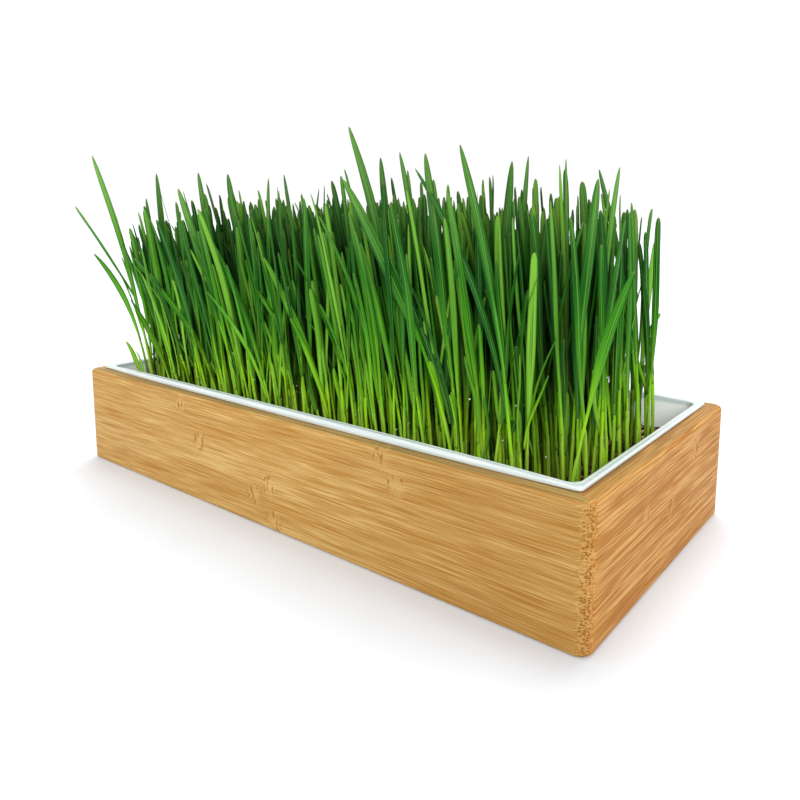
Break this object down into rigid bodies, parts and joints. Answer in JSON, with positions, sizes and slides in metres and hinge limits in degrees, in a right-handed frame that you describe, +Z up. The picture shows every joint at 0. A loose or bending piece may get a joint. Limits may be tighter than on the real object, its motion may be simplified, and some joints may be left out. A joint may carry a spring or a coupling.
{
  "type": "wheatgrass tray",
  "caption": "Low rectangular bamboo box with a white liner tray hung in it, filled with soil and a dense bed of growing wheatgrass.",
  "frame": {"origin": "middle of the box's underside, on the base panel", "axes": "+X along the length of the box, +Y across it towards the back, +Z up; the long front faces -Y"},
  "size_m": [0.399, 0.179, 0.214],
  "materials": {
    "bamboo": "satin lacquered bamboo, fine straight grain",
    "liner_white": "gloss",
    "soil": "moist crumbly growing mix",
    "wheatgrass": "satin leaf"
  },
  "bodies": {
    "root": {"front_board": "bamboo", "back_board": "bamboo", "left_board": "bamboo", "right_board": "bamboo", "base_panel": "bamboo", "liner_tray": "liner_white", "soil": "soil", "wheatgrass_left": "wheatgrass", "wheatgrass_right": "wheatgrass"}
  },
  "joints": []
}
